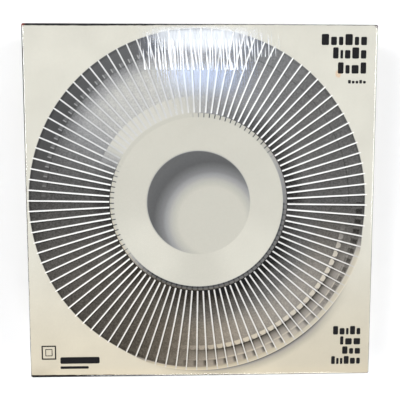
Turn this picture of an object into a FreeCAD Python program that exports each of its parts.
"""A boxed rotary slide tray: a two-piece telescoping carton in shrink film, with the tray inside.

Frame: Z up, origin under the centre of the closed carton, X across the printed lid, Y up its artwork.
All sizes are millimetres. The driving sizes are cells of the spreadsheet "sizes".
"""
import FreeCAD
import Part
import Sketcher
import os

SIZES = {
    # carton, outside and board
    "carton_width": 260.0,
    "carton_length": 265.0,
    "carton_height": 62.0,
    "board_gauge": 0.8,
    "lid_skirt": 42.0,
    "slip_gap": 0.4,
    "fold_radius": 1.5,
    "seam_width": 0.3,
    "rim_gap": 0.3,
    "tab_width": 22.0,
    "tab_inset": 3.0,
    "film_gauge": 0.1,
    "lid_film_gap": 0.2,
    "base_film_gap": 0.05,
    "weld_gap": 0.02,
    "label_width": 190.0,
    "label_length": 150.0,
    "label_gauge": 0.15,
    # slide tray
    "slide_size": 50.8,
    "slot_count": 100.0,
    "tray_gap": 0.3,
    "fin_gauge": 1.2,
    "fin_height": 47.0,
    "fin_outer": 126.3,
    "fin_bevel": 2.5,
    "hub_radius": 66.0,
    "hub_skin": 2.0,
    "rim_outer": 127.0,
    "rim_inner": 123.8,
    "stop_inner": 117.8,
    "stop_outer": 120.3,
    "stop_height": 6.5,
    # index plate and its collar
    "plate_gauge": 0.8,
    "plate_outer": 117.3,
    "bore_radius": 36.0,
    "collar_radius": 37.5,
    "collar_flange": 44.5,
    "collar_height": 8.75,
    "groove_depth": 0.5,
    "running_gap": 0.05,
    "gate_width": 5.4,
    "rivet_circle": 42.0,
    "rivet_radius": 1.2,
    "rivet_head": 2.1,
    "rivet_count": 6.0,
    # index lock
    "pivot_x": -14.785,
    "pivot_y": -45.754,
    "pivot_radius": 1.5,
    "lever_length": 20.0,
    "lever_gauge": 1.5,
    "lever_angle": -27.03,
    "lever_swing": 7.0,
    "knob_reach": 10.0,
    # gear under the hub
    "gear_outer": 63.9,
    "gear_root": 58.2,
    "gear_tip": 56.2,
    "gear_height": 3.0,
    "tooth_gauge": 1.3,
    "screw_circle": 61.0,
    "screw_radius": 1.5,
    "screw_head": 2.4,
    "screw_sink": 1.4,
    "screw_count": 5.0,
    # hub top, retaining ring and lock collar
    "sleeve_outer": 39.5,
    "sleeve_relief": 38.3,
    "deck_gauge": 1.8,
    "ring_gauge": 2.0,
    "ring_outer": 65.5,
    "ring_inner": 42.6,
    "ring_tooth": 3.0,
    "lug_outer": 42.0,
    "lug_span": 24.0,
    "grip_outer": 48.0,
    "peg_circle": 57.0,
    "peg_radius": 1.4,
}

# Heights worked out from the driving sizes, each an expression of cells above it.
HEIGHTS = {
    "base_bottom": "film_gauge + base_film_gap",
    "base_floor": "base_bottom + board_gauge",
    "lid_top": "base_bottom + carton_height - 0.15",
    "lid_ceiling": "lid_top - board_gauge",
    "lid_rim": "lid_top - lid_skirt",
    "base_rim": "lid_ceiling - rim_gap",
    "base_half_x": "carton_width / 2 - board_gauge - slip_gap",
    "base_half_y": "carton_length / 2 - 2 * board_gauge - slip_gap",
    "tray_bottom": "base_floor + tray_gap",
    "plate_bottom": "tray_bottom + 1",
    "plate_top": "plate_bottom + plate_gauge",
    "hub_bottom": "plate_top + tray_gap",
    "fin_top": "hub_bottom + fin_height",
    "slide_top": "plate_top + slide_size",
    "deck_top": "slide_top + 0.55",
    "deck_bottom": "deck_top - deck_gauge",
    "ring_bottom": "deck_top + 0.2",
    "ring_top": "ring_bottom + ring_gauge",
    "sleeve_top": "ring_top + 2.4",
    "gear_bottom": "hub_bottom + 0.2",
    "gear_top": "gear_bottom + gear_height",
    "half_pitch": "180 / slot_count",
}

V = FreeCAD.Vector
doc = FreeCAD.newDocument("boxed_slide_tray")
sheet = doc.addObject("Spreadsheet::Sheet", "sizes")
nodes = []


def fill_sheet():
    """One row a size: its name in column A and its value, under an alias of that name, in column B."""
    for row, (name, number) in enumerate(SIZES.items(), start=1):
        sheet.set(f"A{row}", name)
        sheet.set(f"B{row}", str(number))
        sheet.setAlias(f"B{row}", name)
    for row, (name, formula) in enumerate(HEIGHTS.items(), start=len(SIZES) + 1):
        sheet.set(f"A{row}", name)
        sheet.set(f"B{row}", "=" + formula)
        sheet.setAlias(f"B{row}", name)
    doc.recompute()


def linked(formula):
    """The formula with every cell name written as sizes.NAME, as other objects refer to cells."""
    words = str(formula).replace("(", "( ").replace(")", " )").split(" ")
    return " ".join(f"sizes.{w}" if w in SIZES or w in HEIGHTS else w for w in words)


def value(formula):
    """What a formula of cells comes to now."""
    found = sheet.evalExpression(str(formula))
    return float(getattr(found, "Value", found))


def keep(item, label):
    """Lists an object as a sub-part, whose Label names its file."""
    item.Label = label
    nodes.append(item)
    return item


def origin_feature(body, role):
    return [f for f in body.Origin.OriginFeatures if f.Role == role][0]


def new_sketch(body, role="XY_Plane", height="0"):
    """A sketch on one of the body's own origin planes, raised to a height when it is horizontal."""
    sketch = body.newObject("Sketcher::SketchObject", "outline")
    sketch.AttachmentSupport = [(origin_feature(body, role), "")]
    sketch.MapMode = "FlatFace"
    if role == "XY_Plane":
        sketch.setExpression("AttachmentOffset.Base.z", linked(height))
    return sketch


def bind_point(sketch, line, end, across, along):
    """Holds one end of a line at two formulas from the sketch's origin."""
    for kind, formula in (("DistanceX", across), ("DistanceY", along)):
        index = sketch.addConstraint(
            Sketcher.Constraint(kind, -1, 1, line, end, value(formula))
        )
        sketch.setExpression(f"Constraints[{index}]", linked(formula))


def draw_polygon(sketch, points):
    """A closed outline whose corners are pairs of formulas."""
    corners = [V(value(a), value(b), 0) for a, b in points]
    first = sketch.GeometryCount
    count = len(corners)
    for k in range(count):
        edge = Part.LineSegment(corners[k], corners[(k + 1) % count])
        sketch.addGeometry(edge, False)
    for k in range(count):
        follower = first + (k + 1) % count
        sketch.addConstraint(
            Sketcher.Constraint("Coincident", first + k, 2, follower, 1)
        )
    for k, (across, along) in enumerate(points):
        bind_point(sketch, first + k, 1, across, along)


def draw_circle(sketch, across, along, radius):
    centre = V(value(across), value(along), 0)
    index = sketch.addGeometry(Part.Circle(centre, V(0, 0, 1), value(radius)), False)
    for kind, formula in (("DistanceX", across), ("DistanceY", along)):
        number = sketch.addConstraint(
            Sketcher.Constraint(kind, -1, 1, index, 3, value(formula))
        )
        sketch.setExpression(f"Constraints[{number}]", linked(formula))
    number = sketch.addConstraint(Sketcher.Constraint("Radius", index, value(radius)))
    sketch.setExpression(f"Constraints[{number}]", linked(radius))


def padded(body, sketch, length, both_ways=False):
    pad = body.newObject("PartDesign::Pad", "pad")
    pad.Profile = sketch
    pad.Midplane = both_ways
    pad.setExpression("Length", linked(length))
    sketch.Visibility = False
    body.Tip = pad
    doc.recompute()
    return pad


def cut_through(body, sketch):
    """A pocket through everything, both ways from its sketch."""
    pocket = body.newObject("PartDesign::Pocket", "pocket")
    pocket.Profile = sketch
    pocket.Type = "ThroughAll"
    pocket.Midplane = True
    return settled(body, pocket)


def cut_down(body, sketch, depth):
    """A pocket that goes down from its sketch."""
    pocket = body.newObject("PartDesign::Pocket", "pocket")
    pocket.Profile = sketch
    pocket.setExpression("Length", linked(depth))
    return settled(body, pocket)


def settled(body, pocket):
    """Makes the pocket the body's tip and checks that it removed material."""
    before = body.Shape.Volume
    body.Tip = pocket
    doc.recompute()
    if body.Shape.Volume >= before:
        raise ValueError(f"the pocket in {body.Label} removed nothing")
    return pocket


def repeated(body, features, count):
    """The features again at even steps of a full turn about Z."""
    pattern = body.newObject("PartDesign::PolarPattern", "pattern")
    pattern.Originals = features
    pattern.Axis = (origin_feature(body, "Z_Axis"), [""])
    pattern.Angle = 360
    pattern.setExpression("Occurrences", linked(count))
    body.Tip = pattern
    doc.recompute()
    return pattern


def new_body(name):
    return doc.addObject("PartDesign::Body", name)


def turned(name, section, angle=360.0):
    """A body of revolution about Z. section holds (radius, height) formulas."""
    body = new_body(name)
    sketch = new_sketch(body, "XZ_Plane")
    draw_polygon(sketch, section)
    turn = body.newObject("PartDesign::Revolution", "turn")
    turn.Profile = sketch
    turn.ReferenceAxis = (sketch, ["V_Axis"])
    turn.Angle = angle
    turn.Midplane = angle < 360
    sketch.Visibility = False
    body.Tip = turn
    doc.recompute()
    return body, turn


def box_section(inner, outer, low, high):
    """The four corners of a plain rectangular section."""
    return [(inner, low), (outer, low), (outer, high), (inner, high)]


def prism(name, outlines, low, high):
    """Upright walls over one or more outlines of (x, y) formulas, from one height to another."""
    body = new_body(name)
    sketch = new_sketch(body, "XY_Plane", low)
    for outline in outlines:
        draw_polygon(sketch, outline)
    padded(body, sketch, f"{high} - ( {low} )")
    return body


def upright_plates(name, outline, gauge, count):
    """Plates that stand in the XZ plane, of an even gauge, repeated about Z."""
    body = new_body(name)
    sketch = new_sketch(body, "XZ_Plane")
    draw_polygon(sketch, outline)
    pad = padded(body, sketch, gauge, both_ways=True)
    repeated(body, [pad], count)
    return body


def drill(body, circle, radius, count, low):
    """Round holes through the body, evenly spaced on a circle about Z from the X axis."""
    sketch = new_sketch(body, "XY_Plane", low)
    draw_circle(sketch, circle, "0", radius)
    pocket = cut_through(body, sketch)
    repeated(body, [pocket], count)


def round_pins(name, circle, steps, count):
    """Pins made of coaxial cylinders. steps holds (radius, low, high) formulas."""
    body = new_body(name)
    pads = []
    for radius, low, high in steps:
        sketch = new_sketch(body, "XY_Plane", low)
        draw_circle(sketch, circle, "0", radius)
        pads.append(padded(body, sketch, f"{high} - ( {low} )"))
    repeated(body, pads, count)
    return body


def turn_about_z(item, degrees):
    item.Placement = FreeCAD.Placement(V(0, 0, 0), FreeCAD.Rotation(V(0, 0, 1), degrees))


def rectangle(half_x, half_y):
    return [
        (f"- ( {half_x} )", f"- ( {half_y} )"),
        (half_x, f"- ( {half_y} )"),
        (half_x, half_y),
        (f"- ( {half_x} )", half_y),
    ]


def rounded_block(name, half_x, half_y, low, high, radius, closed_end):
    """A block with its four upright edges and the four edges of one end rounded."""
    body = prism(name, [rectangle(half_x, half_y)], low, high)
    block = body.Tip
    end = value(high) if closed_end == "top" else value(low)
    chosen = []
    for number, edge in enumerate(body.Shape.Edges, start=1):
        box = edge.BoundBox
        upright = box.ZLength > 1
        at_end = abs(box.ZMin - end) < 0.001 and box.ZLength < 0.001
        if upright or at_end:
            chosen.append(f"Edge{number}")
    fillet = body.newObject("PartDesign::Fillet", "fold")
    fillet.Base = (block, chosen)
    fillet.setExpression("Radius", linked(radius))
    body.Tip = fillet
    doc.recompute()
    return body


def less(name, base, tool):
    """What is left of base once tool is taken away."""
    cut = doc.addObject("Part::Cut", name)
    cut.Base = base
    cut.Tool = tool
    doc.recompute()
    return cut


def cavity_outline(half_x, half_y):
    """The inside of a folded tray: a rectangle with a seam slit through each end wall at its corners."""
    slit = "seam_width"
    past = f"{half_y} + 3 * board_gauge"
    inner = f"{half_x} - {slit}"
    quarter = [(half_x, half_y), (half_x, past), (inner, past), (inner, half_y)]
    signs = [(1, 1), (-1, 1), (-1, -1), (1, -1)]
    outline = []
    for sign_x, sign_y in signs:
        corner = quarter if sign_x * sign_y > 0 else quarter[::-1]
        outline += [
            (f"{sign_x} * ( {x} )", f"{sign_y} * ( {y} )") for x, y in corner
        ]
    return outline


def strip(near, far, half_length):
    """A long thin rectangle along Y, between two places across X."""
    return [
        (near, f"- ( {half_length} )"),
        (far, f"- ( {half_length} )"),
        (far, half_length),
        (near, half_length),
    ]


def corner_tab_outlines(half_x, half_y):
    """Four glued tabs that lie against the end walls, one in each corner."""
    outlines = []
    for sign_x in (1, -1):
        for sign_y in (1, -1):
            near = f"{sign_x} * ( {half_x} )"
            far = f"{sign_x} * ( {half_x} - tab_width )"
            wall = f"{sign_y} * ( {half_y} )"
            inside = f"{sign_y} * ( {half_y} - board_gauge )"
            outlines.append([(near, wall), (far, wall), (far, inside), (near, inside)])
    return outlines


def make_lid():
    half_x, half_y = "carton_width / 2", "carton_length / 2"
    inner_x = f"{half_x} - board_gauge"
    inner_y = f"{half_y} - board_gauge"
    outer = rounded_block(
        "lid_block", half_x, half_y, "lid_rim", "lid_top", "fold_radius", "top"
    )
    cavity = prism(
        "lid_cavity", [cavity_outline(inner_x, inner_y)], "lid_rim - 1", "lid_ceiling"
    )
    keep(less("lid_shell", outer, cavity), "lid_board")
    tabs = prism(
        "lid_tabs",
        corner_tab_outlines(inner_x, inner_y),
        "lid_rim + tab_inset",
        "lid_ceiling",
    )
    keep(tabs, "lid_corner_tabs")
    label = prism(
        "label",
        [rectangle("label_width / 2", "label_length / 2")],
        "lid_ceiling - label_gauge",
        "lid_ceiling",
    )
    keep(label, "index_label")
    gap = "lid_film_gap"
    outside = f"{gap} + film_gauge"
    skin = rounded_block(
        "lid_film_outside",
        f"{half_x} + {outside}",
        f"{half_y} + {outside}",
        "lid_rim",
        f"lid_top + {outside}",
        f"fold_radius + {outside}",
        "top",
    )
    core = rounded_block(
        "lid_film_inside",
        f"{half_x} + {gap}",
        f"{half_y} + {gap}",
        "lid_rim - 1",
        f"lid_top + {gap}",
        f"fold_radius + {gap}",
        "top",
    )
    keep(less("lid_film", skin, core), "lid_film")


def make_base():
    inner_x = "base_half_x - board_gauge"
    inner_y = "base_half_y - board_gauge"
    outer = rounded_block(
        "base_block",
        "base_half_x",
        "base_half_y",
        "base_bottom",
        "base_rim",
        "fold_radius",
        "bottom",
    )
    cavity = prism(
        "base_cavity", [cavity_outline(inner_x, inner_y)], "base_floor", "base_rim + 1"
    )
    keep(less("base_shell", outer, cavity), "base_board")
    tabs = prism(
        "base_tabs",
        corner_tab_outlines(inner_x, inner_y),
        "base_floor",
        "base_rim - tab_inset",
    )
    keep(tabs, "base_corner_tabs")
    inside_x, inside_y = "base_half_x + base_film_gap", "base_half_y + base_film_gap"
    outside_x, outside_y = f"{inside_x} + film_gauge", f"{inside_y} + film_gauge"
    floor = prism("film_floor", [rectangle(outside_x, outside_y)], "0", "film_gauge")
    strips = []
    for sign in (1, -1):
        strips.append(strip(f"{sign} * ( {inside_x} )", f"{sign} * ( {outside_x} )", outside_y))
        across = strip(f"{sign} * ( {inside_y} )", f"{sign} * ( {outside_y} )", f"{inside_x} - weld_gap")
        strips.append([(y, x) for x, y in across])
    walls = prism("film_walls", strips, "film_gauge", "lid_rim - slip_gap")
    film = doc.addObject("Part::Compound", "film_sheets")
    film.Links = [floor, walls]
    doc.recompute()
    keep(film, "base_film")


def make_index_plate():
    """The steel plate that the slides stand on, with its gate, and the collar that the tray turns on."""
    plate, _ = turned(
        "plate",
        box_section("collar_radius + 0.1", "plate_outer", "plate_bottom", "plate_top"),
    )
    gate = new_sketch(plate, "XY_Plane", "plate_bottom")
    draw_polygon(
        gate,
        [
            ("hub_radius", "- gate_width / 2"),
            ("plate_outer + 2", "- gate_width / 2"),
            ("plate_outer + 2", "gate_width / 2"),
            ("hub_radius", "gate_width / 2"),
        ],
    )
    cut_through(plate, gate)
    pivot = new_sketch(plate, "XY_Plane", "plate_bottom")
    draw_circle(pivot, "pivot_x", "pivot_y", "pivot_radius + 0.05")
    swept_x = "pivot_x + knob_reach * cos( ( lever_angle - lever_swing / 2 ) * 1deg )"
    swept_y = "pivot_y + knob_reach * sin( ( lever_angle - lever_swing / 2 ) * 1deg )"
    draw_circle(pivot, swept_x, swept_y, "3.2")
    cut_through(plate, pivot)
    drill(plate, "rivet_circle", "rivet_radius + 0.05", "rivet_count", "plate_bottom")
    keep(plate, "index_plate")

    groove_low = "tray_bottom + collar_height - 1.9"
    groove_high = "tray_bottom + collar_height - 0.95"
    groove = "collar_radius - groove_depth"
    collar, _ = turned(
        "collar",
        [
            ("bore_radius", "tray_bottom"),
            ("collar_flange", "tray_bottom"),
            ("collar_flange", "plate_bottom"),
            ("collar_radius", "plate_bottom"),
            ("collar_radius", groove_low),
            (groove, groove_low),
            (groove, groove_high),
            ("collar_radius", groove_high),
            ("collar_radius", "tray_bottom + collar_height"),
            ("bore_radius", "tray_bottom + collar_height"),
        ],
    )
    drill(collar, "rivet_circle", "rivet_radius + 0.05", "rivet_count", "tray_bottom")
    keep(collar, "plate_collar")

    rivets = round_pins(
        "rivets",
        "rivet_circle",
        [
            ("rivet_radius", "tray_bottom", "plate_top"),
            ("rivet_head", "plate_top", "plate_top + 0.9"),
        ],
        "rivet_count",
    )
    keep(rivets, "plate_rivets")

    clip, _ = turned(
        "clip",
        box_section(
            f"{groove} + 0.02",
            "sleeve_relief - 0.1",
            f"{groove_low} + 0.05",
            f"{groove_high} - 0.05",
        ),
        angle=335.0,
    )
    keep(clip, "collar_clip")


def make_index_lock():
    """The hand-set lever that drops its nose between two gear teeth, on a pin in the plate."""
    pin = new_body("pin")
    for radius, low, high in (
        ("pivot_radius", "plate_bottom", "hub_bottom + lever_gauge + 0.1"),
        ("pivot_radius + 1.3", "hub_bottom + lever_gauge + 0.1", "hub_bottom + lever_gauge + 0.9"),
    ):
        sketch = new_sketch(pin, "XY_Plane", low)
        draw_circle(sketch, "pivot_x", "pivot_y", radius)
        padded(pin, sketch, f"{high} - ( {low} )")
    keep(pin, "lock_pivot_pin")

    lever = new_body("lever")
    boss = new_sketch(lever)
    draw_circle(boss, "0", "0", "4")
    padded(lever, boss, "lever_gauge")
    arm = new_sketch(lever)
    draw_polygon(
        arm,
        [
            ("0", "-3"),
            ("lever_length - 7", "-1.9"),
            ("lever_length - 3", "-0.4"),
            ("lever_length - 1.6", "0.8"),
            ("lever_length - 0.25", "-0.45"),
            ("lever_length + 0.5", "0.1"),
            ("lever_length - 0.3", "1.75"),
            ("lever_length - 3", "2.6"),
            ("0", "3"),
        ],
    )
    padded(lever, arm, "lever_gauge")
    eye = new_sketch(lever)
    draw_circle(eye, "0", "0", "pivot_radius + running_gap")
    cut_through(lever, eye)
    knob_hole = new_sketch(lever)
    draw_circle(knob_hole, "knob_reach", "0", "1")
    cut_through(lever, knob_hole)
    keep(lever, "lock_lever")

    knob = new_body("knob")
    for radius, low, high in (
        ("1.9", "tray_bottom - hub_bottom", "-0.05"),
        ("0.95", "-0.05", "lever_gauge + 0.5"),
    ):
        sketch = new_sketch(knob, "XY_Plane", low)
        draw_circle(sketch, "knob_reach", "0", radius)
        padded(knob, sketch, f"{high} - ( {low} )")
    keep(knob, "lock_knob")
    for item in (lever, knob):
        item.Placement = FreeCAD.Placement(
            V(value("pivot_x"), value("pivot_y"), value("hub_bottom")),
            FreeCAD.Rotation(V(0, 0, 1), value("lever_angle")),
        )


def make_tray():
    """The moulding that carries the slides: hub, dividers, stops and rim."""
    ledge = "tray_bottom + collar_height - 2"
    bore = "collar_radius + running_gap"
    sleeve, _ = turned(
        "sleeve",
        [
            (bore, "hub_bottom"),
            ("sleeve_outer", "hub_bottom"),
            ("sleeve_outer", "sleeve_top"),
            ("sleeve_relief", "sleeve_top"),
            ("sleeve_relief", ledge),
            (bore, ledge),
        ],
    )
    keep(sleeve, "hub_sleeve")

    lugs, segment = turned(
        "lugs",
        box_section("sleeve_outer", "lug_outer", "sleeve_top - 1.2", "sleeve_top"),
        angle=SIZES["lug_span"],
    )
    repeated(lugs, [segment], "3")
    keep(lugs, "hub_lugs")

    wall_inner = "hub_radius - hub_skin"
    wall, _ = turned(
        "wall", box_section(wall_inner, "hub_radius", "hub_bottom", "deck_top")
    )
    keep(wall, "hub_wall")

    deck, _ = turned(
        "deck",
        box_section("sleeve_outer + 0.02", f"{wall_inner} - 0.02", "deck_bottom", "deck_top"),
    )
    drill(deck, "peg_circle", "peg_radius + 0.2", "3", "deck_bottom")
    turn_about_z(deck, 60)
    keep(deck, "hub_deck")

    ribs = upright_plates(
        "ribs",
        box_section("sleeve_outer + 0.03", f"{wall_inner} - 0.03", "gear_top + 1.5", "deck_bottom"),
        "1.5",
        "2 * screw_count",
    )
    turn_about_z(ribs, 180 / (2 * SIZES["screw_count"]))
    keep(ribs, "hub_ribs")

    bosses = round_pins(
        "bosses", "screw_circle", [("2.8", "gear_top", "deck_bottom")], "screw_count"
    )
    pilot = new_sketch(bosses, "XY_Plane", "gear_top")
    draw_circle(pilot, "screw_circle", "0", "screw_radius + 0.05")
    repeated(bosses, [cut_through(bosses, pilot)], "screw_count")
    keep(bosses, "gear_bosses")

    fins = upright_plates(
        "fins",
        [
            ("hub_radius + 0.02", "hub_bottom"),
            ("fin_outer", "hub_bottom"),
            ("fin_outer", "fin_top - fin_bevel"),
            ("fin_outer - fin_bevel", "fin_top"),
            ("hub_radius + 0.02", "fin_top"),
        ],
        "fin_gauge",
        "slot_count",
    )
    turn_about_z(fins, value("half_pitch"))
    keep(fins, "divider_fins")

    slope = "tan( half_pitch * 1deg )"
    side = "fin_gauge / 2 / cos( half_pitch * 1deg )"
    narrow = f"stop_inner * {slope} - {side}"
    wide = f"stop_outer * {slope} - {side}"
    stops = prism(
        "stops",
        [
            [
                ("stop_inner", f"- ( {narrow} )"),
                ("stop_outer", f"- ( {wide} )"),
                ("stop_outer", wide),
                ("stop_inner", narrow),
            ]
        ],
        "hub_bottom",
        "hub_bottom + stop_height",
    )
    repeated(stops, [stops.Tip], "slot_count")
    keep(stops, "slide_stops")

    rim, _ = turned(
        "rim",
        [
            ("rim_inner", "tray_bottom"),
            ("rim_outer - 0.6", "tray_bottom"),
            ("rim_outer", "tray_bottom + 0.6"),
            ("rim_outer", "hub_bottom - 0.4"),
            ("rim_outer - 0.4", "hub_bottom"),
            ("rim_inner", "hub_bottom"),
        ],
    )
    keep(rim, "rim_ring")


def make_index_gear():
    """The internally toothed ring, one tooth gap a slot, screwed up under the hub."""
    gear, _ = turned(
        "gear", box_section("gear_root", "gear_outer", "gear_bottom", "gear_top")
    )
    tooth = new_sketch(gear, "XY_Plane", "gear_bottom")
    draw_polygon(
        tooth,
        [
            ("gear_tip", "- tooth_gauge * 0.35"),
            ("gear_root + 0.3", "- tooth_gauge / 2"),
            ("gear_root + 0.3", "tooth_gauge / 2"),
            ("gear_tip", "tooth_gauge * 0.35"),
        ],
    )
    pad = padded(gear, tooth, "gear_height")
    repeated(gear, [pad], "slot_count")
    keep(gear, "index_gear")
    drill(gear, "screw_circle", "screw_radius + 0.1", "screw_count", "gear_bottom")
    sink = new_sketch(gear, "XY_Plane", "gear_bottom + screw_sink")
    draw_circle(sink, "screw_circle", "0", "screw_head + 0.1")
    pocket = cut_down(gear, sink, "screw_sink + 1")
    repeated(gear, [pocket], "screw_count")

    screws = round_pins(
        "screws",
        "screw_circle",
        [
            ("screw_head", "gear_bottom + 0.1", "gear_bottom + screw_sink"),
            ("screw_radius", "gear_bottom + screw_sink", "gear_top + 8"),
        ],
        "screw_count",
    )
    keep(screws, "gear_screws")


def make_retaining_ring():
    """The loose ring that covers the inner corner of every slide, located by three pegs."""
    lip_low = "ring_top + 2.95"
    lip_high = "ring_top + 3.6"
    ring, _ = turned(
        "ring",
        [
            ("ring_inner", "ring_bottom"),
            ("ring_outer", "ring_bottom"),
            ("ring_outer", "ring_top - 0.5"),
            ("ring_outer - 0.5", "ring_top"),
            ("grip_outer + 1.6", "ring_top"),
            ("grip_outer + 1.6", lip_high),
            ("grip_outer - 0.8", lip_high),
            ("grip_outer - 0.8", lip_low),
            ("grip_outer + 0.2", lip_low),
            ("grip_outer + 0.2", "ring_top"),
            ("ring_inner", "ring_top"),
        ],
    )
    tooth = new_sketch(ring, "XY_Plane", "ring_bottom")
    half = "ring_tooth / 2"
    draw_polygon(
        tooth,
        [
            ("ring_outer - 0.3", f"- {half}"),
            ("ring_outer + 2.6", f"- {half} * 0.6"),
            ("ring_outer + 2.6", f"{half} * 0.6"),
            ("ring_outer - 0.3", half),
        ],
    )
    pad = padded(ring, tooth, "ring_gauge - 0.7")
    repeated(ring, [pad], "slot_count")
    keep(ring, "retaining_ring")

    pegs = round_pins(
        "pegs", "peg_circle", [("peg_radius", "ring_bottom - 1.6", "ring_bottom")], "3"
    )
    turn_about_z(pegs, 60)
    keep(pegs, "ring_pegs")

    pointer = prism(
        "pointer",
        [[("ring_outer - 1", "0"), ("ring_outer - 5", "2.2"), ("ring_outer - 5", "-2.2")]],
        "ring_top",
        "ring_top + 0.4",
    )
    turn_about_z(pointer, 90)
    keep(pointer, "home_pointer")


def make_lock_collar():
    """The hand collar, captive in the retaining ring, that turns its lugs under those of the hub."""
    low, high = "ring_top + 0.2", "ring_top + 2.8"
    collar, _ = turned(
        "hand_collar", box_section("ring_inner - 0.3", "grip_outer", low, high)
    )
    keep(collar, "lock_collar")

    lugs, segment = turned(
        "collar_segments",
        box_section("sleeve_outer + 0.3", "ring_inner - 0.3", low, f"{low} + 0.7"),
        angle=SIZES["lug_span"],
    )
    repeated(lugs, [segment], "3")
    turn_about_z(lugs, 60)
    keep(lugs, "collar_lugs")

    grips, segment = turned(
        "grips",
        box_section("ring_inner + 0.6", "grip_outer - 1.3", high, f"{high} + 1.3"),
        angle=16.0,
    )
    repeated(grips, [segment], "3")
    keep(grips, "collar_grips")

    washer, _ = turned(
        "washer",
        box_section("ring_inner + 1", "grip_outer - 1", "ring_top + 0.02", "ring_top + 0.18"),
    )
    keep(washer, "friction_washer")


def check_objects():
    """Stops on any object that failed, or any sub-part with no sound shape."""
    for item in doc.Objects:
        if "Invalid" in item.State or "Error" in item.State:
            raise ValueError(f"{item.Name} ({item.Label}) did not compute: {item.State}")
    for item in nodes:
        if item.Shape.isNull() or not item.Shape.isValid() or not item.Shape.Solids:
            raise ValueError(f"{item.Label} has no valid solid")


def export_parts():
    os.makedirs("parts", exist_ok=True)
    for item in nodes:
        item.Shape.exportStep(f"parts/{item.Label}.step")
        box = item.Shape.BoundBox
        print(
            f"{item.Label:18s} solids {len(item.Shape.Solids):3d}  volume {item.Shape.Volume:10.1f}"
            f"  z {box.ZMin:6.2f} to {box.ZMax:6.2f}"
        )


fill_sheet()
make_lid()
make_base()
make_index_plate()
make_index_lock()
make_tray()
make_index_gear()
make_retaining_ring()
make_lock_collar()
doc.recompute()
check_objects()
export_parts()
